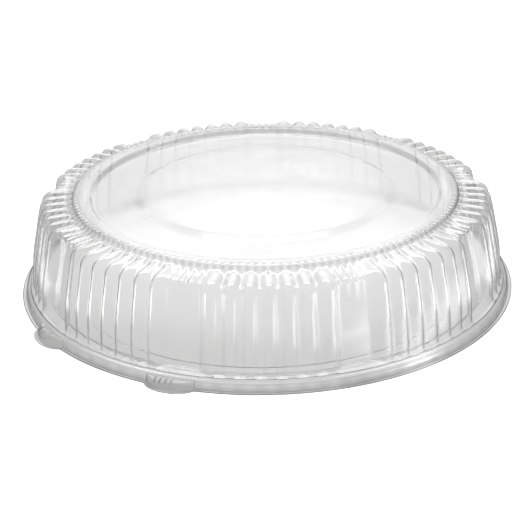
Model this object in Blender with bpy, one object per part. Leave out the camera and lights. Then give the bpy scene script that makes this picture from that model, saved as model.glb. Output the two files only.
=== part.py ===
"""Round humidity-dome set: a shallow clear tray, the fluted clear dome that lifts off it, and the
dome's two lift tabs.

Metres, +Z up.  The origin is on the common axis, on the tray's underside.  Headings are measured
from the front (-Y) towards +X.  Every piece is a thin vacuum-formed sheet: its upper skin is drawn
as rings of points, and a Solidify modifier gives it the sheet's thickness on the inner side.
"""
import math

import bmesh
import bpy

# --- driving dimensions (metres, degrees) ------------------------------------------------------
LIP_RADIUS = 0.206           # outer edge of the dome's lip
SHEET = 0.0006               # thickness of the formed sheet
LIP_TOP = 0.0009             # upper skin of the lip, so its underside clears the ground by 0.3 mm
TAB_GAP = 0.0008             # between a tab's upper skin and the skirt, at the tab's root

# The dome's outline from the middle outwards, as radius and height in lip radii.
DISC_EDGE = (0.494, 0.394)       # raised stacking disc
DISC_FOOT = (0.530, 0.3815)
RIM_FOOT = (0.692, 0.3800)       # level annulus between the disc and the rim band
RIM_INNER = (0.712, 0.3990)
BEAD_TOP = (0.764, 0.4030)       # rim band's outer edge, above the bead step
CREST = ((0.775, 0.3850), (0.876, 0.3780), (0.912, 0.3400), (0.960, 0.0580))
VALLEY = ((0.775, 0.3800), (0.857, 0.3590), (0.874, 0.3300), (0.918, 0.0580))
SHELF = (0.963, 0.0450)          # fine line round the shelf under the flutes
SKIRT_TOP = (0.977, 0.0340)
SKIRT_FOOT_RADIUS = 0.985

# Flutes: nine groups, each seven flutes and a plain panel two pitches wide.
GROUPS = 9
FLUTES_PER_GROUP = 7
PANEL_PITCHES = 2
PHASE_DEG = 0.4              # heading of the front group's middle flute
COLUMNS_PER_PITCH = 4
FLUTE_SHARE = (0.0, 0.84, 1.0, 0.84)     # panel to crest across one pitch
SMALL_FLUTE_SHARE = 0.45     # height of the half-pitch flutes on a panel's shoulder
INNER_VALLEY_SHARE = 0.45    # a valley between two flutes is about half as deep as a panel
SHOULDER_ROWS = 2            # rows of CREST and VALLEY that lie on the shoulder

TOP_COLUMNS = 81
SKIRT_COLUMNS = 108

# Lift tabs on the skirt.
TAB_HEADINGS_DEG = {"lift_tab_front": -21.2, "lift_tab_left": -57.4}
TAB_REACH = 0.0082           # how far a tab stands past the lip's edge
TAB_HALF_WIDTH_DEG = 5.4
TAB_NOTCH_MARGIN_DEG = 0.15  # between a tab's end and the end of the lip
TAB_LIP = 0.0020             # flat edge round the tab's bubble
NOTCH_LEDGE = 0.0001         # what is left of the lip behind a tab
NOTCH_CORNER_DEG = 0.03      # half the heading over which the lip's end turns in
TAB_COLUMNS = 16
TAB_ROWS = (0.0, 0.3, 0.6, 0.85, 1.0)

# The tray's upper skin, from the middle outwards (metres).
TRAY_PROFILE = (
    (0.1640, 0.0006), (0.1655, 0.0020), (0.1700, 0.0020), (0.1715, 0.0006),
    (0.1785, 0.0006), (0.1868, 0.0089), (0.1955, 0.0089), (0.1985, 0.0072), (0.1996, 0.0024),
)
TRAY_COLUMNS = 72


def scaled(pair):
    """Turns a point given in lip radii into metres."""
    return pair[0] * LIP_RADIUS, pair[1] * LIP_RADIUS


def place(heading_deg, radius, height):
    """Gives the point at a heading from the front, a radius and a height."""
    angle = math.radians(heading_deg)
    return radius * math.sin(angle), -radius * math.cos(angle), height


def round_ring(count, radius, height):
    """A plain ring: a list of (heading, point)."""
    step = 360.0 / count
    return [(k * step, place(k * step, radius, height)) for k in range(count)]


def flute_share(column, on_shoulder):
    """How far from panel (0) to crest (1) the skin is at a column of the fluted wall."""
    pitches = FLUTES_PER_GROUP + PANEL_PITCHES
    pitch, part = divmod(column % (pitches * COLUMNS_PER_PITCH), COLUMNS_PER_PITCH)
    if 0 < pitch < FLUTES_PER_GROUP and part == 0:
        return INNER_VALLEY_SHARE
    if pitch < FLUTES_PER_GROUP:
        return FLUTE_SHARE[part]
    if on_shoulder and part % 2:
        return SMALL_FLUTE_SHARE
    return 0.0


def fluted_ring(row):
    """A ring that follows the flutes, at one row of the CREST and VALLEY outlines."""
    pitches = GROUPS * (FLUTES_PER_GROUP + PANEL_PITCHES)
    count = pitches * COLUMNS_PER_PITCH
    step = 360.0 / count
    start = PHASE_DEG - FLUTES_PER_GROUP * COLUMNS_PER_PITCH / 2 * step
    crest_radius, crest_height = scaled(CREST[row])
    valley_radius, valley_height = scaled(VALLEY[row])
    ring = []
    for column in range(count):
        share = flute_share(column, row < SHOULDER_ROWS)
        radius = valley_radius + share * (crest_radius - valley_radius)
        height = valley_height + share * (crest_height - valley_height)
        heading = start + column * step
        ring.append((heading % 360.0, place(heading, radius, height)))
    return sorted(ring)


def notch_ends():
    """The headings where the lip stops beside each tab, as (start, end) pairs."""
    reach = TAB_HALF_WIDTH_DEG + TAB_NOTCH_MARGIN_DEG
    return [((mid - reach) % 360.0, (mid + reach) % 360.0) for mid in TAB_HEADINGS_DEG.values()]


def lip_radii():
    """The lip's outer radius at each of its headings, drawn in to the skirt's foot behind a tab."""
    narrow = SKIRT_FOOT_RADIUS * LIP_RADIUS + NOTCH_LEDGE
    radii = {k * 360.0 / SKIRT_COLUMNS: LIP_RADIUS for k in range(SKIRT_COLUMNS)}
    for start, end in notch_ends():
        for heading in radii:
            if start < heading < end:
                radii[heading] = narrow
        radii[start - NOTCH_CORNER_DEG] = radii[end + NOTCH_CORNER_DEG] = LIP_RADIUS
        radii[start + NOTCH_CORNER_DEG] = radii[end - NOTCH_CORNER_DEG] = narrow
    return dict(sorted(radii.items()))


def lip_rings():
    """The skirt's foot and the lip's outer edge, with matching columns."""
    foot = SKIRT_FOOT_RADIUS * LIP_RADIUS
    radii = lip_radii()
    return [[(heading, place(heading, foot, LIP_TOP)) for heading in radii],
            [(heading, place(heading, radius, LIP_TOP)) for heading, radius in radii.items()]]


def stitch(bm, inner, outer):
    """Fills the band between two rings of (heading, vertex), each in rising heading."""
    i = j = 0
    while i < len(inner) or j < len(outer):
        here, there = inner[i % len(inner)][1], outer[j % len(outer)][1]
        turn_i, next_i = divmod(i + 1, len(inner))
        turn_j, next_j = divmod(j + 1, len(outer))
        ahead_i = inner[next_i][0] + 360.0 * turn_i
        ahead_j = outer[next_j][0] + 360.0 * turn_j
        if abs(ahead_i - ahead_j) < 1e-6:
            bm.faces.new((here, there, outer[next_j][1], inner[next_i][1]))
            i += 1
            j += 1
        elif j >= len(outer) or (i < len(inner) and ahead_i < ahead_j):
            bm.faces.new((here, there, inner[next_i][1]))
            i += 1
        else:
            bm.faces.new((here, there, outer[next_j][1]))
            j += 1


def turned_sheet(name, rings, material, even=False):
    """Builds a round sheet from rings, the innermost closed by a flat face."""
    bm = bmesh.new()
    rows = [[(heading, bm.verts.new(point)) for heading, point in ring] for ring in rings]
    bm.faces.new([vertex for _, vertex in rows[0]])
    for inner, outer in zip(rows, rows[1:]):
        stitch(bm, inner, outer)
    return sheet_object(name, bm, material, even)


def sheet_object(name, bm, material, even=False):
    """Turns a one-sided skin into a named sheet; even keeps the full thickness at every bend."""
    mesh = bpy.data.meshes.new(name)
    bm.to_mesh(mesh)
    bm.free()
    mesh.materials.append(material)
    mesh.shade_smooth()
    mesh.set_sharp_from_angle(angle=math.radians(35.0))
    sheet = bpy.data.objects.new(name, mesh)
    bpy.context.scene.collection.objects.link(sheet)
    solidify = sheet.modifiers.new("sheet", "SOLIDIFY")
    solidify.thickness = SHEET
    solidify.offset = -1.0
    solidify.use_quality_normals = True
    solidify.use_even_offset = even
    return sheet


def clear_plastic(name, colour, roughness):
    """Clear thermoformed PET."""
    material = bpy.data.materials.new(name)
    material.use_nodes = True
    shader = material.node_tree.nodes["Principled BSDF"]
    shader.inputs["Base Color"].default_value = (*colour, 1.0)
    shader.inputs["Roughness"].default_value = roughness
    shader.inputs["Metallic"].default_value = 0.0
    shader.inputs["IOR"].default_value = 1.57
    shader.inputs["Transmission Weight"].default_value = 0.9
    return material


def skirt_radius(height):
    """Radius of the skirt's outer skin at a height."""
    top_radius, top_height = scaled(SKIRT_TOP)
    foot_radius = SKIRT_FOOT_RADIUS * LIP_RADIUS
    share = (top_height - height) / (top_height - LIP_TOP)
    return top_radius + share * (foot_radius - top_radius)


def make_tray():
    """The shallow tray: flat floor, one stiffening ring, sloping wall and a down-turned rim."""
    rings = [round_ring(TRAY_COLUMNS, radius, height) for radius, height in TRAY_PROFILE]
    material = clear_plastic("tray_pet", (0.90, 0.93, 0.94), 0.08)
    return turned_sheet("base_tray", rings, material, even=True)


def make_dome():
    """The dome: raised disc, level top, rim band, fluted wall, shelf, skirt and lip."""
    top = [round_ring(TOP_COLUMNS, *scaled(point))
           for point in (DISC_EDGE, DISC_FOOT, RIM_FOOT, RIM_INNER, BEAD_TOP)]
    wall = [fluted_ring(row) for row in range(len(CREST))]
    base = [round_ring(SKIRT_COLUMNS, *scaled(point)) for point in (SHELF, SKIRT_TOP)]
    material = clear_plastic("dome_pet", (0.93, 0.95, 0.96), 0.05)
    return turned_sheet("dome_lid", top + wall + base + lip_rings(), material)


def tab_point(side, row, heading_deg):
    """A point on a tab's bubble: side runs -1 to 1 across it, row 0 to 1 from its root to its foot."""
    swell = 1.0 - side ** 4
    arch = 1.0 - abs(side) ** 3
    root_height = LIP_TOP + arch * (SKIRT_TOP[1] * LIP_RADIUS - LIP_TOP)
    root_radius = skirt_radius(root_height) + TAB_GAP
    foot_radius = LIP_RADIUS - TAB_LIP + swell * TAB_REACH
    radius = root_radius + row * (foot_radius - root_radius)
    height = LIP_TOP + (root_height - LIP_TOP) * math.cos(row * math.pi / 2)
    return place(heading_deg + side * TAB_HALF_WIDTH_DEG, radius, height)


def tab_edge(side, heading_deg):
    """A point on the outer edge of a tab's flat lip."""
    radius = LIP_RADIUS + (1.0 - side ** 4) * TAB_REACH
    return place(heading_deg + side * TAB_HALF_WIDTH_DEG, radius, LIP_TOP)


def make_tab(name, material):
    """A lift tab: a hollow bubble that grows out of the skirt, with a thin flat edge."""
    heading = TAB_HEADINGS_DEG[name]
    sides = [2.0 * k / TAB_COLUMNS - 1.0 for k in range(TAB_COLUMNS + 1)]
    bm = bmesh.new()
    rows = [[bm.verts.new(tab_point(side, row, heading)) for side in sides]
            for row in TAB_ROWS]
    rows.append([bm.verts.new(tab_edge(side, heading)) for side in sides])
    for inner, outer in zip(rows, rows[1:]):
        for k in range(TAB_COLUMNS):
            bm.faces.new((inner[k], outer[k], outer[k + 1], inner[k + 1]))
    return sheet_object(name, bm, material)


def main():
    """Clears the scene and builds the set."""
    for old in list(bpy.data.objects):
        bpy.data.objects.remove(old, do_unlink=True)
    assembly = bpy.data.objects.new("humidity_dome_set", None)
    bpy.context.scene.collection.objects.link(assembly)
    make_tray().parent = assembly
    make_dome().parent = assembly
    tab_material = clear_plastic("tab_pet", (0.92, 0.94, 0.95), 0.08)
    for name in TAB_HEADINGS_DEG:
        make_tab(name, tab_material).parent = assembly


main()
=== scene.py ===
"""Looks of the round humidity-dome set: a fluted clear dome, its two lift tabs and a shallow tray.

Metres, +Z up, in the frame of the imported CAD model.  Headings are degrees from the front (-Y)
towards +X.  Outline points named in lip radii are multiplied by the dome's own lip radius, which is
read from the frame.  Every piece is a thin formed sheet: its upper skin is laid out ring by ring
or row by row, and the lower skin is the upper one moved in by the sheet's thickness.
"""
from __future__ import annotations

import logging
import math
from dataclasses import dataclass, field
from enum import Enum

import bpy
import numpy as np
from mathutils import Matrix, Vector


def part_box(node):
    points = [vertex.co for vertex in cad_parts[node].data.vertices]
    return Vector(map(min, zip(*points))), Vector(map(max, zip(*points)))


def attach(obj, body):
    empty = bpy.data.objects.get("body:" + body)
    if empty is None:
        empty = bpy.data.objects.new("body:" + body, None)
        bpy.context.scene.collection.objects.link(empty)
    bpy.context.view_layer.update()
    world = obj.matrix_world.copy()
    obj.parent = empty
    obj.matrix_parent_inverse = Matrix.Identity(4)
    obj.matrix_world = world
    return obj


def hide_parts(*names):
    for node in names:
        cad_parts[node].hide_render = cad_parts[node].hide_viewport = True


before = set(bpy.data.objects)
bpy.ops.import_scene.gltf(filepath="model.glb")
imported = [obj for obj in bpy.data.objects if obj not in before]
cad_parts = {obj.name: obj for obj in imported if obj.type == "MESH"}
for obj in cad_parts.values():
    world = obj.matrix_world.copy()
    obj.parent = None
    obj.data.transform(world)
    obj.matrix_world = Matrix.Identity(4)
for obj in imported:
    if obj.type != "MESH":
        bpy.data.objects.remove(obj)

LOG = logging.getLogger("humidity_dome")
Pair = tuple[float, float]
Point = tuple[float, float, float]
Ring = tuple[np.ndarray, np.ndarray]
Socket = bpy.types.NodeSocket
FULL_TURN = 360.0
SAME_HEADING = 1e-6
SHORTEST_NORMAL = 1e-12
SHEET = 0.0006
TRAY_IOR = 1.08
TAB_HEADINGS = {"lift_tab_front": -21.2, "lift_tab_left": -57.4}
DOME_TOP: Point = (0.0, 0.0, 0.08)
WHITE = (1.0, 1.0, 1.0, 1.0)


# --- outlines ----------------------------------------------------------------------------------


def fillet(before: Pair, corner: Pair, after: Pair, radius: float, steps: int) -> list[Pair]:
    """Points of the arc that rounds a corner.

    Args:
        before: The point the outline comes from.
        corner: The sharp corner.
        after: The point the outline goes to.
        radius: Radius of the arc, in the outline's units.
        steps: Number of equal pieces of the arc.

    Returns:
        The arc's points, from the incoming side to the outgoing one.
    """
    c = np.array(corner)
    u = np.array(before) - c
    v = np.array(after) - c
    u, v = u / np.linalg.norm(u), v / np.linalg.norm(v)
    half = math.acos(float(np.clip(u @ v, -1.0, 1.0))) / 2
    reach = radius / math.tan(half)
    middle = c + (u + v) / np.linalg.norm(u + v) * radius / math.sin(half)
    start, end = c + u * reach - middle, c + v * reach - middle
    sweep = math.pi - 2 * half
    points = []
    for k in range(steps + 1):
        a = math.sin(sweep * (1 - k / steps)) / math.sin(sweep)
        b = math.sin(sweep * k / steps) / math.sin(sweep)
        points.append(tuple(middle + a * start + b * end))
    return points


@dataclass(frozen=True)
class Bend:
    """One corner of an outline: where it is, how far it is rounded and how finely it is divided."""

    at: Pair
    radius: float = 0.0
    arc_steps: int = 4
    run_steps: int = 1


def outline(bends: list[Bend]) -> np.ndarray:
    """Lays out a rounded outline.

    Args:
        bends: The corners in order. run_steps divides the straight run that leads to the corner.

    Returns:
        The points as an array of (radius, height).
    """
    points: list[Pair] = [bends[0].at]
    for k in range(1, len(bends)):
        bend = bends[k]
        rounded = 0 < k < len(bends) - 1 and bend.radius > 0
        if rounded:
            arc = fillet(bends[k - 1].at, bend.at, bends[k + 1].at, bend.radius, bend.arc_steps)
        else:
            arc = [bend.at]
        last = points[-1]
        for step in range(1, bend.run_steps):
            share = step / bend.run_steps
            points.append(tuple(np.array(last) * (1 - share) + np.array(arc[0]) * share))
        points.extend(arc)
    return np.array(points)


# --- skins -------------------------------------------------------------------------------------


def place(heading: np.ndarray, radius: np.ndarray, height: np.ndarray) -> np.ndarray:
    """Points at headings in degrees, radii and heights, as an array of (x, y, z)."""
    angle = np.radians(heading)
    radius = np.broadcast_to(radius, angle.shape)
    height = np.broadcast_to(height, angle.shape)
    return np.stack([radius * np.sin(angle), -radius * np.cos(angle), height], axis=-1)


@dataclass
class Skin:
    """The upper skin of a formed sheet, gathered ring by ring and closed to the sheet's thickness."""

    points: list[np.ndarray] = field(default_factory=list)
    faces: list[tuple[int, ...]] = field(default_factory=list)
    count: int = 0

    def ring(self, heading: np.ndarray, points: np.ndarray) -> Ring:
        """Adds one ring of points.

        Args:
            heading: Rising headings of the points, in degrees.
            points: The points.

        Returns:
            The ring as its headings and the indices of its points.
        """
        index = np.arange(self.count, self.count + len(points))
        self.points.append(points)
        self.count += len(points)
        return heading, index

    def cap(self, ring: Ring, height: float) -> None:
        """Closes the innermost ring with a fan round its middle."""
        _, index = ring
        middle = self.count
        self.points.append(np.array([[0.0, 0.0, height]]))
        self.count += 1
        for k in range(len(index)):
            self.faces.append((middle, int(index[k]), int(index[(k + 1) % len(index)])))

    def band(self, inner: Ring, outer: Ring, gaps: tuple[Pair, ...] = ()) -> None:
        """Fills the band between two closed rings, whatever their numbers of points.

        Args:
            inner: The ring nearer the axis, as its headings and indices.
            outer: The other ring.
            gaps: Heading ranges to leave open.
        """
        (inner_at, inner_index), (outer_at, outer_index) = inner, outer
        n, m = len(inner_index), len(outer_index)
        i = j = 0
        while i < n or j < m:
            here, there = int(inner_index[i % n]), int(outer_index[j % m])
            ahead_i = inner_at[(i + 1) % n] + FULL_TURN * ((i + 1) // n)
            ahead_j = outer_at[(j + 1) % m] + FULL_TURN * ((j + 1) // m)
            middle = (inner_at[i % n] + FULL_TURN * (i // n) + min(ahead_i, ahead_j)) / 2 % FULL_TURN
            shut = not any(low < middle < high for low, high in gaps)
            next_i, next_j = int(inner_index[(i + 1) % n]), int(outer_index[(j + 1) % m])
            if abs(ahead_i - ahead_j) < SAME_HEADING:
                face = (here, there, next_j, next_i)
                i, j = i + 1, j + 1
            elif j >= m or (i < n and ahead_i < ahead_j):
                face = (here, there, next_i)
                i += 1
            else:
                face = (here, there, next_j)
                j += 1
            if shut:
                self.faces.append(face)

    def strip(self, inner: np.ndarray, outer: np.ndarray) -> None:
        """Fills the strip between two open rows of equally many points."""
        for k in range(len(inner) - 1):
            self.faces.append((int(inner[k]), int(outer[k]), int(outer[k + 1]), int(inner[k + 1])))

    def solid(self, name: str, thickness: float, sharp_deg: float = 50.0) -> bpy.types.Object:
        """Closes the skin to a sheet.

        Args:
            name: Name of the piece.
            thickness: Thickness of the sheet.
            sharp_deg: Edges that turn by more than this stay sharp.

        Returns:
            The new object, linked to the scene.
        """
        upper = np.concatenate(self.points)
        lower = upper - self.normals(upper) * thickness
        shift = len(upper)
        faces = list(self.faces)
        faces += [tuple(k + shift for k in reversed(face)) for face in self.faces]
        edges: dict[tuple[int, int], int] = {}
        for face in self.faces:
            for a, b in zip(face, face[1:] + face[:1]):
                edges[(a, b)] = 1
        for a, b in edges:
            if (b, a) not in edges:
                faces.append((b, a, a + shift, b + shift))
        used = np.unique(np.concatenate([np.array(face) for face in faces]))
        remap = np.full(2 * shift, -1)
        remap[used] = np.arange(len(used))
        mesh = bpy.data.meshes.new(name)
        mesh.from_pydata(np.concatenate([upper, lower])[used].tolist(), [],
                         [tuple(int(remap[k]) for k in face) for face in faces])
        mesh.validate()
        mesh.shade_smooth()
        mesh.set_sharp_from_angle(angle=math.radians(sharp_deg))
        piece = bpy.data.objects.new(name, mesh)
        bpy.context.scene.collection.objects.link(piece)
        return piece

    def normals(self, points: np.ndarray) -> np.ndarray:
        """Area-weighted unit normals of the skin at its points."""
        total = np.zeros_like(points)
        triangles = np.array([(f[0], f[k], f[k + 1]) for f in self.faces
                              for k in range(1, len(f) - 1)])
        a, b, c = (points[triangles[:, k]] for k in range(3))
        cross = np.cross(b - a, c - a)
        for k in range(3):
            np.add.at(total, triangles[:, k], cross)
        length = np.linalg.norm(total, axis=1, keepdims=True)
        return total / np.maximum(length, SHORTEST_NORMAL)


def spread(count: int, start: float = 0.0) -> np.ndarray:
    """Equal headings all round, in degrees and in rising order from zero."""
    return np.sort((np.arange(count) * FULL_TURN / count + start) % FULL_TURN)


# --- finishes ----------------------------------------------------------------------------------


class Tone(Enum):
    """Tints of the clear sheets, as the two colours that their slow variation runs between."""

    DOME = ((0.915, 0.914, 0.912), (0.955, 0.954, 0.952))
    # The tabs' tint is painted darker than the dome's: painted shade standing in for how the tab
    # bubbles catch the light.
    SHADED_TAB = ((0.68, 0.679, 0.677), (0.86, 0.859, 0.857))
    TRAY = ((0.955, 0.955, 0.955), (0.975, 0.975, 0.975))


def math_node(tree: bpy.types.NodeTree, operation: str, *values: Socket | float) -> Socket:
    """Adds a math node.

    Args:
        tree: The node tree.
        operation: What the node works out.
        values: A socket or a number for each of its inputs.

    Returns:
        The socket with the result.
    """
    node = tree.nodes.new("ShaderNodeMath")
    node.operation = operation
    for entry, value in zip(node.inputs, values):
        if isinstance(value, bpy.types.NodeSocket):
            tree.links.new(value, entry)
        else:
            entry.default_value = value
    return node.outputs[0]


def map_range(tree: bpy.types.NodeTree, value: Socket, source: Pair, target: Pair,
              interpolation: str = "LINEAR") -> Socket:
    """Adds a node that carries one span of values over to another.

    Args:
        tree: The node tree.
        value: The socket with the value.
        source: The span that the value runs over.
        target: The span to carry it to.
        interpolation: How it runs between the ends.

    Returns:
        The socket with the new value.
    """
    node = tree.nodes.new("ShaderNodeMapRange")
    node.interpolation_type = interpolation
    ends = zip(("From Min", "From Max", "To Min", "To Max"), (*source, *target))
    for entry, number in ends:
        node.inputs[entry].default_value = number
    tree.links.new(value, node.inputs["Value"])
    return node.outputs["Result"]


def multiply_tint(tree: bpy.types.NodeTree, share: Socket | float, tint: Socket,
                  shade: Socket) -> Socket:
    """Adds a node that multiplies a tint by a shade.

    Args:
        tree: The node tree.
        share: How much of the shade is taken, as a socket or a number.
        tint: The tint.
        shade: The shade.

    Returns:
        The socket with the shaded tint.
    """
    node = tree.nodes.new("ShaderNodeMix")
    node.data_type = "RGBA"
    node.blend_type = "MULTIPLY"
    if isinstance(share, bpy.types.NodeSocket):
        tree.links.new(share, node.inputs["Factor"])
    else:
        node.inputs["Factor"].default_value = share
    tree.links.new(tint, node.inputs["A"])
    tree.links.new(shade, node.inputs["B"])
    return node.outputs["Result"]


def shade_by_radius(tree: bpy.types.NodeTree, where: Socket,
                    rings: tuple[Pair, ...]) -> Socket:
    """Adds nodes that give a shade for each distance from the axis.

    Args:
        tree: The material's node tree.
        where: The socket with the point on the piece.
        rings: Rising radii with their shades.

    Returns:
        The socket with the shade.
    """
    nodes, links = tree.nodes, tree.links
    flat = nodes.new("ShaderNodeVectorMath")
    flat.operation = "MULTIPLY"
    flat.inputs[1].default_value = (1.0, 1.0, 0.0)
    links.new(where, flat.inputs[0])
    length = nodes.new("ShaderNodeVectorMath")
    length.operation = "LENGTH"
    links.new(flat.outputs["Vector"], length.inputs[0])
    low, high = rings[0][0], rings[-1][0]
    span = map_range(tree, length.outputs["Value"], (low, high), (0.0, 1.0))
    ramp = nodes.new("ShaderNodeValToRGB")
    points = ramp.color_ramp.elements
    points[0].color = (rings[0][1],) * 3 + (1.0,)
    points[-1].color = (rings[-1][1],) * 3 + (1.0,)
    for radius, shade in rings[1:-1]:
        points.new((radius - low) / (high - low)).color = (shade, shade, shade, 1.0)
    links.new(span, ramp.inputs["Fac"])
    return ramp.outputs["Color"]


@dataclass(frozen=True)
class ShadeWave:
    """A painted shade that comes and goes round the axis inside one ring, standing in for the light
    and shade that the formed shape throws there.
    """

    count: int
    phase_deg: float
    deepest: float
    ring: tuple[Pair, ...]

    def wire(self, tree: bpy.types.NodeTree, where: Socket,
             tint: Socket) -> Socket:
        """Adds the nodes that shade a tint.

        Args:
            tree: The material's node tree.
            where: The socket with the point on the piece.
            tint: The tint to shade.

        Returns:
            The socket with the shaded tint.
        """
        split = tree.nodes.new("ShaderNodeSeparateXYZ")
        tree.links.new(where, split.inputs[0])
        heading = math_node(tree, "ARCTAN2", split.outputs["X"], split.outputs["Y"])
        start = self.count * math.radians(FULL_TURN / 2 - self.phase_deg)
        wave = math_node(tree, "COSINE",
                         math_node(tree, "MULTIPLY_ADD", heading, -float(self.count), start))
        shade = map_range(tree, wave, (-1.0, 1.0), (self.deepest, 1.0))
        return multiply_tint(tree, shade_by_radius(tree, where, self.ring), tint, shade)


@dataclass(frozen=True)
class ClearSheet:
    """Clear formed PET: glossy, slightly wavy from the forming, with a little haze, and painted shade
    in its tint.
    """

    name: str
    tone: Tone
    haze: Pair = (0.05, 0.11)
    wave_size: float = 0.028
    wave_depth: float = 0.00035
    wave_strength: float = 0.35
    noise_detail: float = 2.0
    noise_span: Pair = (0.3, 0.7)
    ior: float = 1.57
    lamp_tint: float = 0.96
    # rings and waves paint shade into the tint: by distance from the axis and round it.
    rings: tuple[Pair, ...] = ((0.0, 1.0), (1.0, 1.0))
    waves: tuple[ShadeWave, ...] = ()

    def make(self) -> bpy.types.Material:
        """Builds the node material.

        Returns:
            The material.
        """
        material = bpy.data.materials.new(self.name)
        material.use_nodes = True
        tree = material.node_tree
        nodes, links = tree.nodes, tree.links
        shader = nodes["Principled BSDF"]
        where = nodes.new("ShaderNodeTexCoord")
        slow = nodes.new("ShaderNodeTexNoise")
        slow.inputs["Scale"].default_value = 1.0 / self.wave_size
        slow.inputs["Detail"].default_value = self.noise_detail
        links.new(where.outputs["Object"], slow.inputs["Vector"])
        tint = nodes.new("ShaderNodeMix")
        tint.data_type = "RGBA"
        tint.inputs["A"].default_value = (*self.tone.value[0], 1.0)
        tint.inputs["B"].default_value = (*self.tone.value[1], 1.0)
        links.new(slow.outputs["Fac"], tint.inputs["Factor"])
        # Painted shade: the tint is darkened by the rings, then by the waves.
        shaded = multiply_tint(tree, 1.0, tint.outputs["Result"],
                               shade_by_radius(tree, where.outputs["Object"], self.rings))
        for wave in self.waves:
            shaded = wave.wire(tree, where.outputs["Object"], shaded)
        links.new(shaded, shader.inputs["Base Color"])
        haze = map_range(tree, slow.outputs["Fac"], self.noise_span, self.haze)
        links.new(haze, shader.inputs["Roughness"])
        bump = nodes.new("ShaderNodeBump")
        bump.inputs["Strength"].default_value = self.wave_strength
        bump.inputs["Distance"].default_value = self.wave_depth
        links.new(slow.outputs["Fac"], bump.inputs["Height"])
        links.new(bump.outputs["Normal"], shader.inputs["Normal"])
        shader.inputs["IOR"].default_value = self.ior
        shader.inputs["Transmission Weight"].default_value = 1.0
        self.let_lamps_through(material)
        return material

    def let_lamps_through(self, material: bpy.types.Material) -> None:
        """Lets lamp light pass the sheet with a slight loss, as thin clear film does."""
        tree = material.node_tree
        nodes, links = tree.nodes, tree.links
        shader, output = nodes["Principled BSDF"], nodes["Material Output"]
        path = nodes.new("ShaderNodeLightPath")
        clear = nodes.new("ShaderNodeBsdfTransparent")
        clear.inputs["Color"].default_value = (self.lamp_tint,) * 3 + (1.0,)
        mix = nodes.new("ShaderNodeMixShader")
        links.new(path.outputs["Is Shadow Ray"], mix.inputs["Fac"])
        links.new(shader.outputs["BSDF"], mix.inputs[1])
        links.new(clear.outputs["BSDF"], mix.inputs[2])
        links.new(mix.outputs["Shader"], output.inputs["Surface"])


def dress(piece: bpy.types.Object, finish: ClearSheet, body: str) -> bpy.types.Object:
    """Gives a piece its material and makes it ride on its body.

    Args:
        piece: The piece.
        finish: Its finish.
        body: The CAD body it moves with.

    Returns:
        The piece.
    """
    piece.data.materials.clear()
    piece.data.materials.append(finish.make())
    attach(piece, body)
    LOG.info("%s: %d faces, rides on %s", piece.name, len(piece.data.polygons), body)
    return piece


# --- the dome ----------------------------------------------------------------------------------


@dataclass
class SkirtShape:
    """The snap skirt and lip round the dome's foot, in lip radii; the lip is 0.9 mm high."""

    top: Pair = (0.9775, 0.0335)
    foot_radius: float = 0.985
    lip_height: float = 0.0009 / 0.206
    barrel: float = 0.0030
    rows: int = 10
    lip_rows: int = 2

    def at(self, row: int) -> tuple[float, float, float]:
        """A row of the skirt's outline.

        Args:
            row: 0 at the skirt's top, rows at its foot, and beyond that across the lip.

        Returns:
            The radius, the height, and how much of a tab's swelling the row takes.
        """
        if row <= self.rows:
            turn = row / self.rows * math.pi / 2
            share = 1.0 - math.cos(turn)
            height = self.lip_height + (self.top[1] - self.lip_height) * math.cos(turn)
            radius = self.top[0] + share * (self.foot_radius - self.top[0])
            radius += self.barrel * math.sin(2 * turn)
            return radius, height, math.sin(turn)
        share = (row - self.rows) / self.lip_rows
        return self.foot_radius + share * (1.0 - self.foot_radius), self.lip_height, 1.0


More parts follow.
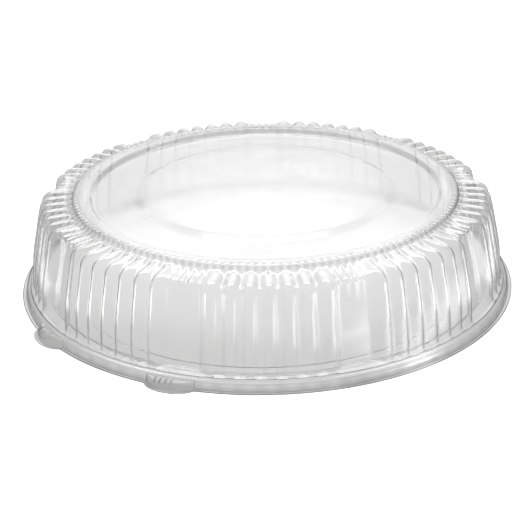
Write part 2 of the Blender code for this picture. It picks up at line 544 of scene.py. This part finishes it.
@dataclass
class FluteShape:
    """The fluted wall: how its groups, panels and rounded ribs are laid out.

    Across a flute, places and depths are counted in pitches from its crest: a round crest up to
    turn, a straight flank up to flank_end, then a round valley. The outer flank of a group's last
    flute carries on down to the panel.
    """

    groups: int = 9
    per_group: int = 7
    panel_pitches: int = 2
    phase_deg: float = 0.4
    turn: float = 0.24
    flank_end: float = 0.41
    flank_deg: float = 40.0
    valley_share: Pair = (0.48, 0.06)
    panel_depth: float = 0.583
    outer_end: float = 0.66
    panel_blend: float = 0.10
    small_share: float = 0.42
    column_places: tuple[float, ...] = (-0.46, -0.41, -0.35, -0.29, -0.22, -0.12, 0.0,
                                        0.12, 0.22, 0.29, 0.35, 0.41, 0.46, 0.50)
    lug_valleys: Pair = (-1.5, 1.5)
    lug_top: float = 0.088
    lug_share: float = 0.60
    lug_rise: float = 0.006
    lug_half_width: float = 0.34
    lug_squareness: int = 6

    @property
    def pitches(self) -> int:
        """Pitches in one group with its panel."""
        return self.per_group + self.panel_pitches

    @property
    def pitch_deg(self) -> float:
        """Heading from one flute to the next."""
        return FULL_TURN / (self.groups * self.pitches)

    def columns(self) -> np.ndarray:
        """Headings of the wall's columns, closest together on the flanks."""
        crests = np.arange(self.groups * self.pitches)
        places = crests[:, None] + np.array(self.column_places)[None, :]
        return np.sort((places.ravel() * self.pitch_deg + self.phase_deg) % FULL_TURN)

    def crest_depth(self, place: np.ndarray) -> np.ndarray:
        """Depth below the crest line on the round crest and its straight flank, in pitches."""
        lean = math.radians(self.flank_deg)
        size = self.turn / math.sin(lean)
        inside = np.minimum(place, self.turn)
        depth = size - np.sqrt(size * size - inside * inside)
        return depth + np.maximum(place - self.turn, 0.0) * math.tan(lean)

    def inner_share(self, place: np.ndarray, valley_share: float) -> np.ndarray:
        """Height share of a flute whose neighbour is another flute.

        Args:
            place: Distance from the flute's crest, in pitches.
            valley_share: Height share of the valley between the two.

        Returns:
            The share at each place.
        """
        valley = 0.5 - self.flank_end
        lean = math.radians(self.flank_deg)
        size = valley / math.sin(lean)
        bottom = float(self.crest_depth(np.array(self.flank_end)))
        past = np.clip(0.5 - place, 0.0, valley)
        drop = bottom + np.sqrt(size * size - past * past) - size * math.cos(lean)
        full = bottom + size - size * math.cos(lean)
        depth = np.where(place < self.flank_end, self.crest_depth(place), drop)
        return 1.0 - (1.0 - valley_share) * depth / full

    def outer_share(self, place: np.ndarray) -> np.ndarray:
        """Height share on the outer flank of a group, by the distance from its last crest."""
        past = np.maximum(place - self.turn, 0.0)
        reach = self.outer_end - self.turn
        at_end = float(self.crest_depth(np.array(self.outer_end)))
        steep = (self.panel_depth - at_end) / (reach * reach)
        raw = 1.0 - (self.crest_depth(place) + steep * past * past) / self.panel_depth
        k = self.panel_blend
        soft = np.maximum(k - np.abs(raw), 0.0) / k
        return np.maximum(raw, 0.0) + soft * soft * k / 4

    def share(self, heading: np.ndarray, shoulder: float) -> np.ndarray:
        """How far the skin stands from the panels (0) to the crests (1).

        Args:
            heading: Headings in degrees.
            shoulder: 1 on the shoulder, 0 on the wall; the small flutes only show on the shoulder.

        Returns:
            The share at each heading.
        """
        place_in_group = (heading - self.phase_deg) / self.pitch_deg + self.per_group / 2
        place_in_group = place_in_group % self.pitches
        valley = self.valley_share[0] + shoulder * (self.valley_share[1] - self.valley_share[0])
        phase = place_in_group % 1.0 - 0.5
        middle = np.abs(place_in_group - self.per_group / 2)
        middle = np.minimum(middle, self.pitches - middle)
        past_last = middle - (self.per_group - 1) / 2
        flutes = np.where(past_last > 0, self.outer_share(np.abs(past_last)),
                          self.inner_share(np.abs(phase), valley))
        small_phase = np.abs((place_in_group * 2) % 1.0 - 0.5)
        small = self.inner_share(small_phase, 0.0)
        small = np.where(past_last > 0.5, small * self.small_share * shoulder, 0.0)
        return np.maximum(flutes, small)

    def lug(self, heading: np.ndarray, height: float) -> np.ndarray:
        """Height share of the stacking lugs in the feet of a few valleys."""
        middle = (heading - self.phase_deg) / self.pitch_deg
        middle = (middle + self.pitches / 2) % self.pitches - self.pitches / 2
        rise = float(np.clip((self.lug_top - height) / self.lug_rise, 0.0, 1.0))
        best = np.zeros_like(heading)
        for valley in self.lug_valleys:
            off = np.abs(middle - valley) / self.lug_half_width
            near = np.clip(1.0 - off ** self.lug_squareness, 0.0, 1.0)
            best = np.maximum(best, near)
        return best * self.lug_share * rise * rise * (3 - 2 * rise)


@dataclass
class DomeLid:
    """The clear dome: raised disc, level top, beaded rim band, fluted wall, shelf, skirt and lip."""

    lip_radius: float
    sheet: float
    tab_headings: dict[str, float]
    tab_half_deg: float = 5.5
    flutes: FluteShape = field(default_factory=FluteShape)
    skirt: SkirtShape = field(default_factory=SkirtShape)
    # Painted shade by radius: dark lines at the shelf step, the skirt's top, the skirt's foot and the
    # lip's edge, standing in for shade reflected by the rounded skirt.
    painted_shade_rings: tuple[Pair, ...] = (
        (0.9630, 1.00), (0.9665, 0.84), (0.9690, 1.00), (0.9760, 1.00), (0.9778, 0.76),
        (0.9800, 1.00), (0.9832, 0.97), (0.9846, 0.72), (0.9852, 0.48), (0.9868, 0.55),
        (0.9885, 1.00), (0.9960, 1.00), (0.9975, 0.40), (1.0000, 0.30))
    bead_top: Pair = (0.7465, 0.4026)
    bead_foot: Pair = (0.7790, 0.3843)
    flute_foot: Pair = (0.9640, 0.0452)
    shoulder_end: float = 0.3600
    shoulder_blend: float = 0.012
    bead_count: int = 162
    bead_half_width: float = 0.42
    bead_roundness: float = 0.7
    bead_taper: float = 0.6
    bead_share: float = 0.85
    # Painted shade between the beads inside bead_ring, and on the skirt between the flutes' feet
    # inside skirt_ring.
    bead_shade: float = 0.82
    bead_ring: tuple[Pair, ...] = ((0.7465, 0.0), (0.7505, 1.0), (0.7740, 1.0), (0.7800, 0.0))
    skirt_shade: float = 0.93
    skirt_ring: tuple[Pair, ...] = ((0.9770, 0.0), (0.9790, 1.0), (0.9860, 1.0), (0.9870, 0.0))
    bead_columns: int = 972
    top_columns: int = 216
    skirt_columns: int = 324

    def top_outline(self) -> np.ndarray:
        """The turned top, from the disc's edge to the rim band's outer edge, in lip radii."""
        return outline([
            Bend((0.440, 0.3940)),
            Bend((0.494, 0.3940), 0.020, 4),
            Bend((0.530, 0.3812), 0.020, 4),
            Bend((0.692, 0.3802), 0.008, 3, 3),
            Bend((0.708, 0.3980), 0.008, 3, 2),
            Bend((0.7300, 0.4030), 0.060, 3),
            Bend(self.bead_top, 0.0, 1, 2),
        ])

    def bead_outline(self) -> np.ndarray:
        """The leaning face that carries the beads, in lip radii."""
        return outline([
            Bend(self.bead_top),
            Bend((0.7505, 0.4012), 0.002, 1),
            Bend((0.7735, 0.3858), 0.002, 1, 6),
            Bend(self.bead_foot, 0.0, 1),
        ])

    def wall_outlines(self) -> tuple[np.ndarray, np.ndarray]:
        """Matching outlines of crest and valley, from the shoulder to the shelf, in lip radii."""
        crest = outline([
            Bend(self.bead_foot),
            Bend((0.9030, 0.3780), 0.052, 9, 3),
            Bend((0.9480, 0.1600), 0.600, 2, 2),
            Bend((0.9545, 0.0478), 0.006, 4, 4),
            Bend(self.flute_foot),
        ])
        valley = outline([
            Bend((0.7790, 0.3720)),
            Bend((0.8660, self.shoulder_end), 0.020, 9, 3),
            Bend((0.9060, 0.1600), 0.600, 2, 2),
            Bend((0.9170, 0.0560), 0.012, 4, 4),
            Bend(self.flute_foot),
        ])
        return crest, valley

    def shelf_outline(self) -> np.ndarray:
        """The shelf from the fine step at the flutes' foot to the skirt's top, in lip radii."""
        return outline([
            Bend(self.flute_foot),
            Bend((0.9665, 0.0400), 0.0012, 2),
            Bend((0.9735, 0.0375), 0.002, 2),
            Bend(self.skirt.at(0)[:2]),
        ])

    def waves(self) -> tuple[ShadeWave, ...]:
        """Painted shade that comes and goes round the axis: between the beads, and on the skirt
        between the flutes' feet, where it stands in for the light and shade the flutes throw.
        """
        scale, phase = self.lip_radius, self.flutes.phase_deg
        beads = tuple((radius * scale, share) for radius, share in self.bead_ring)
        skirt = tuple((radius * scale, share) for radius, share in self.skirt_ring)
        crests = self.flutes.groups * self.flutes.pitches
        return (ShadeWave(self.bead_count, phase, self.bead_shade, beads),
                ShadeWave(crests, phase, self.skirt_shade, skirt))

    def gaps(self) -> tuple[Pair, ...]:
        """Heading ranges of the skirt that belong to the lift tabs."""
        half = self.tab_half_deg
        return tuple(((mid - half) % FULL_TURN, (mid + half) % FULL_TURN)
                     for mid in self.tab_headings.values())

    def skirt_headings(self) -> np.ndarray:
        """Columns of the skirt: equal ones, with the tabs' edges in place of their neighbours."""
        headings = spread(self.skirt_columns)
        for edge in [h for gap in self.gaps() for h in gap]:
            headings[np.argmin(np.abs(headings - edge))] = edge
        return headings

    def turned(self, skin: Skin, headings: np.ndarray, points: np.ndarray) -> list[Ring]:
        """Adds plain turned rings for outline points given in lip radii.

        Args:
            skin: The skin to add to.
            headings: Headings of each ring's points.
            points: The outline's radii and heights.

        Returns:
            The rings, in the outline's order.
        """
        scale = self.lip_radius
        return [skin.ring(headings, place(headings, radius * scale, height * scale))
                for radius, height in points]

    def bead_rings(self, skin: Skin) -> list[Ring]:
        """Adds the rings of the beaded step: a row of level teeth on a leaning face.

        Args:
            skin: The skin to add to.

        Returns:
            The rings, from the inside out.
        """
        headings = spread(self.bead_columns, self.flutes.phase_deg)
        phase = (headings - self.flutes.phase_deg) * self.bead_count / FULL_TURN % 1.0 - 0.5
        across = np.clip(1.0 - np.abs(phase / self.bead_half_width) ** 3, 0.0, 1.0)
        across = across ** self.bead_roundness
        points = self.bead_outline()
        level = points[0][1]
        rings = []
        for k, (radius, height) in enumerate(points):
            along = max(0.0, (k - 1) / (len(points) - 3))
            top = self.bead_share * (1.0 - self.bead_taper * along ** 3)
            if k == len(points) - 1:
                top = 0.0
            rise = top * across
            rings.append(skin.ring(headings, place(
                headings, radius * self.lip_radius,
                (height + (level - height) * rise) * self.lip_radius)))
        return rings

    def flute_rings(self, skin: Skin) -> list[Ring]:
        """Adds the rings of the shoulder and the fluted wall.

        Args:
            skin: The skin to add to.

        Returns:
            The rings, from the shoulder down.
        """
        headings = self.flutes.columns()
        crest, valley = self.wall_outlines()
        rings = []
        for k, (top, bottom) in enumerate(zip(crest, valley)):
            run = float(np.clip((self.shoulder_end - bottom[1]) / self.shoulder_blend, 0.0, 1.0))
            share = self.flutes.share(headings, 1.0 - run)
            share = np.maximum(share, self.flutes.lug(headings, bottom[1]))
            if k == len(crest) - 1:
                share = np.zeros_like(headings)
            radius = (bottom[0] + share * (top[0] - bottom[0])) * self.lip_radius
            height = (bottom[1] + share * (top[1] - bottom[1])) * self.lip_radius
            rings.append(skin.ring(headings, place(headings, radius, height)))
        return rings

    def make(self) -> bpy.types.Object:
        """Builds the dome's sheet, open where the lift tabs carry on.

        Returns:
            The dome.
        """
        skin = Skin()
        coarse = spread(self.top_columns)
        rings = self.turned(skin, coarse, self.top_outline())
        skin.cap(rings[0], self.top_outline()[0][1] * self.lip_radius)
        rings += self.bead_rings(skin)[1:]
        rings += self.flute_rings(skin)[1:]
        rings += self.turned(skin, self.skirt_headings(), self.shelf_outline()[1:])
        for inner, outer in zip(rings, rings[1:]):
            skin.band(inner, outer)
        below = [rings[-1]]
        for row in range(1, self.skirt.rows + self.skirt.lip_rows + 1):
            radius, height, _ = self.skirt.at(row)
            below += self.turned(skin, self.skirt_headings(), np.array([(radius, height)]))
        for inner, outer in zip(below, below[1:]):
            skin.band(inner, outer, self.gaps())
        return skin.solid("dome_shell", self.sheet)


@dataclass
class LiftTab:
    """A lift tab: the skirt swells out into a hollow bubble with grip ribs and a thin edge."""

    name: str
    heading: float
    half_deg: float
    lip_radius: float
    sheet: float
    skirt: SkirtShape
    swell_roundness: float = 0.62
    reach: float = 0.0395
    columns: int = 88
    rib_places: tuple[float, ...] = (-0.50, -0.28, -0.06, 0.16)
    rib_width: float = 0.055
    rib_height: float = 0.0050
    rib_start: float = 0.28
    rib_span: float = 0.62

    def swell(self, side: np.ndarray) -> np.ndarray:
        """Outline of the tab across its width, 0 at its ends and 1 at its middle."""
        return np.clip(1.0 - side ** 2, 0.0, 1.0) ** self.swell_roundness

    def ribs(self, side: np.ndarray, take: float) -> np.ndarray:
        """Height of the grip ribs on the bubble's upper face."""
        along = float(np.clip((take - self.rib_start) / self.rib_span, 0.0, 1.0))
        window = max(0.0, math.sin(math.pi * along)) ** 0.5
        total = np.zeros_like(side)
        for middle in self.rib_places:
            total = np.maximum(total, np.clip(1.0 - ((side - middle) / self.rib_width) ** 2, 0, 1))
        return total * window * self.rib_height

    def make(self) -> bpy.types.Object:
        """Builds the tab's sheet.

        Returns:
            The tab.
        """
        skin = Skin()
        side = np.linspace(-1.0, 1.0, self.columns + 1)
        headings = self.heading + side * self.half_deg
        swell = self.swell(side)
        rows = []
        for row in range(self.skirt.rows + self.skirt.lip_rows + 1):
            radius, height, take = self.skirt.at(row)
            out = radius + self.reach * swell * take
            ribs = self.ribs(side, take) if row <= self.skirt.rows else 0.0
            slope = math.sqrt(max(0.0, 1.0 - take * take))
            high = height + ribs * slope
            points = place(headings, (out + ribs * take) * self.lip_radius, high * self.lip_radius)
            rows.append(skin.ring(headings, points)[1])
        for inner, outer in zip(rows, rows[1:]):
            skin.strip(inner, outer)
        return skin.solid(self.name, self.sheet)


@dataclass
class BaseTray:
    """The shallow tray: flat floor, one stiffening ring, sloping wall and down-turned rim (metres)."""

    rim_radius: float
    height: float
    sheet: float
    columns: int = 216
    ring_rise: float = 0.0014
    rim_foot: float = 0.0018

    def make(self) -> bpy.types.Object:
        """Builds the tray's sheet.

        Returns:
            The tray.
        """
        rim, top, low = self.rim_radius, self.height, self.sheet
        points = outline([
            Bend((rim - 0.0500, low)),
            Bend((rim - 0.0362, low), 0.0040, 4, 2),
            Bend((rim - 0.0335, low + self.ring_rise), 0.0030, 4),
            Bend((rim - 0.0300, low + self.ring_rise), 0.0030, 4),
            Bend((rim - 0.0275, low), 0.0040, 4),
            Bend((rim - 0.0211, low), 0.0040, 5),
            Bend((rim - 0.0128, top), 0.0040, 5, 2),
            Bend((rim - 0.0030, top), 0.0030, 5, 2),
            Bend((rim, low + self.rim_foot), 0.0, 1, 2),
        ])
        skin = Skin()
        headings = spread(self.columns)
        rings = [skin.ring(headings, place(headings, radius, height)) for radius, height in points]
        skin.cap(rings[0], low)
        for inner, outer in zip(rings, rings[1:]):
            skin.band(inner, outer)
        return skin.solid("tray_shell", self.sheet)


# --- studio ------------------------------------------------------------------------------------


@dataclass(frozen=True)
class Softbox:
    """The soft lamp that lights the floor; it stays out of the mirrored picture."""

    name: str
    height: float
    side: float
    radiance: float

    def make(self) -> bpy.types.Object:
        """Hangs the lamp over the set, facing down, and returns it."""
        data = bpy.data.lights.new(self.name, "AREA")
        data.size = self.side
        data.energy = self.radiance * math.pi * self.side * self.side
        lamp = bpy.data.objects.new(self.name, data)
        bpy.context.scene.collection.objects.link(lamp)
        lamp.location = (0.0, 0.0, self.height)
        lamp.visible_camera = False
        lamp.visible_transmission = False
        lamp.visible_glossy = False
        return lamp


@dataclass(frozen=True)
class GlowPanel:
    """A bright panel with soft edges that is only seen mirrored by the pieces or through them."""

    name: str
    at: Point
    size: Pair
    radiance: float
    look_at: Point | None = None
    turn_deg: float = 0.0
    soft: Pair = (0.5, 0.5)

    def fade(self, tree: bpy.types.NodeTree, place_at: Socket,
             share: float) -> Socket:
        """Adds the nodes that fade the glow out towards two opposite edges.

        Args:
            tree: The material's node tree.
            place_at: The socket that runs from 0 to 1 between the edges.
            share: The share of the half width that fades.

        Returns:
            The socket with the fade, 1 in the middle and 0 at the edges.
        """
        far = math_node(tree, "ABSOLUTE", math_node(tree, "SUBTRACT", place_at, 0.5))
        return map_range(tree, far, (0.5 - share / 2, 0.5), (1.0, 0.0), "SMOOTHSTEP")

    def material(self) -> bpy.types.Material:
        """Builds the soft-edged glow."""
        material = bpy.data.materials.new(self.name)
        material.use_nodes = True
        tree = material.node_tree
        tree.nodes.remove(tree.nodes["Principled BSDF"])
        where = tree.nodes.new("ShaderNodeTexCoord")
        split = tree.nodes.new("ShaderNodeSeparateXYZ")
        tree.links.new(where.outputs["Generated"], split.inputs[0])
        level = math_node(tree, "MULTIPLY", self.fade(tree, split.outputs["X"], self.soft[0]),
                          self.fade(tree, split.outputs["Y"], self.soft[1]))
        clear = tree.nodes.new("ShaderNodeBsdfTransparent")
        glow = tree.nodes.new("ShaderNodeEmission")
        glow.inputs["Strength"].default_value = self.radiance
        mix = tree.nodes.new("ShaderNodeMixShader")
        tree.links.new(level, mix.inputs["Fac"])
        tree.links.new(clear.outputs[0], mix.inputs[1])
        tree.links.new(glow.outputs[0], mix.inputs[2])
        tree.links.new(mix.outputs[0], tree.nodes["Material Output"].inputs["Surface"])
        return material

    def make(self) -> bpy.types.Object:
        """Sets up the panel and returns it."""
        x, y = self.size[0] / 2, self.size[1] / 2
        mesh = bpy.data.meshes.new(self.name)
        mesh.from_pydata([(-x, -y, 0), (x, -y, 0), (x, y, 0), (-x, y, 0)], [], [(0, 1, 2, 3)])
        mesh.materials.append(self.material())
        panel = bpy.data.objects.new(self.name, mesh)
        bpy.context.scene.collection.objects.link(panel)
        panel.location = self.at
        if self.look_at is None:
            panel.rotation_euler = (0.0, 0.0, math.radians(self.turn_deg))
        else:
            way = Vector(self.look_at) - Vector(self.at)
            panel.rotation_euler = way.to_track_quat("-Z", "Y").to_euler()
        panel.visible_camera = False
        panel.visible_diffuse = False
        panel.visible_shadow = False
        return panel


@dataclass(frozen=True)
class ByRay:
    """A brightness for each way of seeing a thing: straight, through a sheet, or mirrored."""

    straight: float
    through: float
    mirrored: float

    def wire(self, tree: bpy.types.NodeTree) -> Socket:
        """Adds the nodes that pick the brightness.

        Args:
            tree: The node tree to add them to.

        Returns:
            The socket that carries it.
        """
        path = tree.nodes.new("ShaderNodeLightPath")
        seen, passed = path.outputs["Is Camera Ray"], path.outputs["Is Transmission Ray"]
        level = math_node(tree, "ADD", math_node(tree, "MULTIPLY", seen, self.straight),
                          math_node(tree, "MULTIPLY", passed, self.through))
        rest = math_node(tree, "MULTIPLY_ADD", math_node(tree, "ADD", seen, passed),
                         -self.mirrored, self.mirrored)
        return math_node(tree, "ADD", level, rest)


@dataclass
class Studio:
    """Pale floor with a painted shadow ring round the dome's foot, soft lamp, glow panels, even
    surroundings and the camera.
    """

    lip_radius: float
    floor_radius: float = 12.0
    floor_drop: float = 0.0002
    floor_shade: ByRay = ByRay(0.93, 0.94, 0.28)
    # Painted shadow on the floor: how far behind the middle the darker ring is centred.
    painted_shade_centre_y: float = 0.08
    floor_columns: int = 96
    grain_scale: float = 6.0
    grain_span: Pair = (0.985, 1.015)
    # Painted shadow on the floor: radii from that centre with their shades, darkest near the dome's
    # foot.
    floor_painted_shade_rings: tuple[Pair, ...] = ((0.0, 1.0), (0.13, 1.0), (0.17, 0.97), (0.21, 0.86),
                                     (0.235, 0.84), (0.26, 0.95), (0.31, 1.0), (0.38, 1.0))
    floor_glow: ByRay = ByRay(0.80, 0.0, 0.0)
    surroundings: ByRay = ByRay(1.0, 0.75, 0.28)
    camera_distance: float = 6.232
    camera_elevation_deg: float = 24.944
    camera_lens: float = 102.29
    camera_roll_deg: float = 1.187
    aim: Point = (-0.00717, 0.11292, 0.0)
    lamp: Softbox = Softbox("top_softbox", 1.3, 1.8, 1.20)
    panels: tuple[GlowPanel, ...] = (
        GlowPanel("crest_panel", (0.0, 0.48, 1.39), (2.60, 0.70), 5.0, DOME_TOP),
        GlowPanel("ceiling", (0.0, 1.50, 1.85), (3.6, 1.7), 1.15, DOME_TOP),
        GlowPanel("shoulder_panel", (0.0, 1.80, 1.34), (3.00, 0.60), 1.8, DOME_TOP),
        GlowPanel("disc_panel", (0.0, 2.47, 1.08), (1.00, 0.52), 1.9, DOME_TOP, soft=(0.8, 0.8)),
        GlowPanel("back_wall", (0.0, 2.60, 1.2), (5.0, 2.8), 1.35, (0.0, 0.0, 0.60),
                  soft=(0.8, 0.3)),
        GlowPanel("right_near_card", (0.260, -0.220, 0.004), (0.34, 0.10), 4.5, turn_deg=-10.0,
                  soft=(0.2, 0.9)),
        GlowPanel("right_front_card", (0.300, -0.330, 0.004), (0.56, 0.24), 2.7, turn_deg=-27.0,
                  soft=(0.7, 1.0)),
        GlowPanel("right_side_card", (0.520, -0.130, 0.004), (0.62, 0.18), 4.5, soft=(0.2, 0.5)),
        GlowPanel("right_far_card", (1.300, -0.450, 0.004), (1.20, 0.90), 4.5, turn_deg=-10.0,
                  soft=(0.4, 0.5)),
        GlowPanel("left_side_card", (-0.520, -0.130, 0.004), (0.62, 0.16), 4.0, soft=(0.2, 0.5)),
        GlowPanel("left_far_card", (-1.300, -0.300, 0.004), (1.20, 0.50), 4.0, turn_deg=10.0,
                  soft=(0.4, 0.5)),
        GlowPanel("right_back_card", (0.90, 0.45, 0.003), (1.2, 1.2), 0.25),
        GlowPanel("left_back_card", (-0.90, 0.45, 0.003), (1.2, 1.2), 0.25),
    )

    def floor(self) -> bpy.types.Object:
        """Makes the pale floor, with a painted shadow ring round the dome's foot."""
        skin = Skin()
        headings = spread(self.floor_columns)
        rings = [skin.ring(headings, place(headings, radius, -self.floor_drop))
                 for radius in (1.0, self.floor_radius)]
        skin.cap(rings[0], -self.floor_drop)
        skin.band(*rings)
        mesh = bpy.data.meshes.new("studio_floor")
        mesh.from_pydata(np.concatenate(skin.points).tolist(), [], skin.faces)
        floor = bpy.data.objects.new("studio_floor", mesh)
        bpy.context.scene.collection.objects.link(floor)
        material = bpy.data.materials.new("pale_floor")
        material.use_nodes = True
        tree = material.node_tree
        nodes, links = tree.nodes, tree.links
        shader = nodes["Principled BSDF"]
        grain = nodes.new("ShaderNodeTexNoise")
        grain.inputs["Scale"].default_value = self.grain_scale
        shade = math_node(tree, "MULTIPLY", self.floor_shade.wire(tree),
                          map_range(tree, grain.outputs["Fac"], (0.0, 1.0), self.grain_span))
        # Painted shadow: a darker ring round the dome's foot, centred a little behind its middle.
        where = nodes.new("ShaderNodeTexCoord")
        moved = nodes.new("ShaderNodeVectorMath")
        moved.operation = "SUBTRACT"
        moved.inputs[1].default_value = (0.0, self.painted_shade_centre_y, 0.0)
        links.new(where.outputs["Object"], moved.inputs[0])
        painted_floor_shade = shade_by_radius(tree, moved.outputs["Vector"], self.floor_painted_shade_rings)
        links.new(multiply_tint(tree, 1.0, shade, painted_floor_shade), shader.inputs["Base Color"])
        shader.inputs["Roughness"].default_value = 1.0
        shader.inputs["Specular IOR Level"].default_value = 0.0
        shader.inputs["Emission Color"].default_value = WHITE
        links.new(self.floor_glow.wire(tree), shader.inputs["Emission Strength"])
        mesh.materials.append(material)
        return floor

    def world(self) -> None:
        """Even surroundings: pale where they are seen, darker where they light and mirror."""
        world = bpy.data.worlds.new("studio_world")
        bpy.context.scene.world = world
        world.use_nodes = True
        world.cycles.sampling_method = "NONE"
        background = world.node_tree.nodes["Background"]
        background.inputs["Color"].default_value = WHITE
        world.node_tree.links.new(self.surroundings.wire(world.node_tree),
                                  background.inputs["Strength"])

    def camera(self) -> bpy.types.Object:
        """Sets the camera at the viewing angle and makes it the scene's camera."""
        scale = self.lip_radius
        rise, roll = math.radians(self.camera_elevation_deg), math.radians(self.camera_roll_deg)
        place_at = Vector((0.0, -math.cos(rise), math.sin(rise))) * self.camera_distance * scale
        look = (Vector(self.aim) * scale - place_at).normalized()
        right = look.cross(Vector((0.0, 0.0, 1.0))).normalized()
        up = right.cross(look)
        tilted_right = right * math.cos(roll) - up * math.sin(roll)
        tilted_up = up * math.cos(roll) + right * math.sin(roll)
        data = bpy.data.cameras.new("camera")
        data.lens = self.camera_lens
        camera = bpy.data.objects.new("camera", data)
        bpy.context.scene.collection.objects.link(camera)
        turn = Matrix((tilted_right, tilted_up, -look)).transposed().to_4x4()
        camera.matrix_world = Matrix.Translation(place_at) @ turn
        bpy.context.scene.camera = camera
        return camera

    def make(self) -> None:
        """Sets up the floor, the surroundings, the lamp, the panels and the camera."""
        self.floor()
        self.world()
        self.lamp.make()
        for panel in self.panels:
            panel.make()
        self.camera()
        bpy.context.scene.view_settings.view_transform = "Standard"


def main() -> None:
    """Builds the pieces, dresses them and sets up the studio."""
    logging.basicConfig(level=logging.INFO, format="%(name)s: %(message)s")
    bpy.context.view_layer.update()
    dome_low, dome_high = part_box("dome_lid")
    _, tray_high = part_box("base_tray")
    lip_radius = (dome_high.x - dome_low.x) / 2

    dome = DomeLid(lip_radius, SHEET, TAB_HEADINGS)
    # Painted shade rings for the dome's tint, in metres.
    rings = tuple((radius * lip_radius, shade) for radius, shade in dome.painted_shade_rings)
    finish = ClearSheet("dome_clear_pet", Tone.DOME, rings=rings, waves=dome.waves())
    shell = dress(dome.make(), finish, "dome")
    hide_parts("dome_lid")

    for node, heading in TAB_HEADINGS.items():
        body = node.replace("lift_", "")
        tab = LiftTab(node + "_shell", heading, dome.tab_half_deg, lip_radius, SHEET, dome.skirt)
        # The tab's darker tint is painted shade.
        piece = dress(tab.make(), ClearSheet(node + "_clear_pet", Tone.SHADED_TAB), body)
        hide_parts(node)

    tray = BaseTray(tray_high.x, tray_high.z, SHEET)
    finish = ClearSheet("tray_clear_pet", Tone.TRAY, ior=TRAY_IOR)
    piece = dress(tray.make(), finish, "tray")
    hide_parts("base_tray")

    Studio(lip_radius).make()


if __name__ == "__main__":
    main()
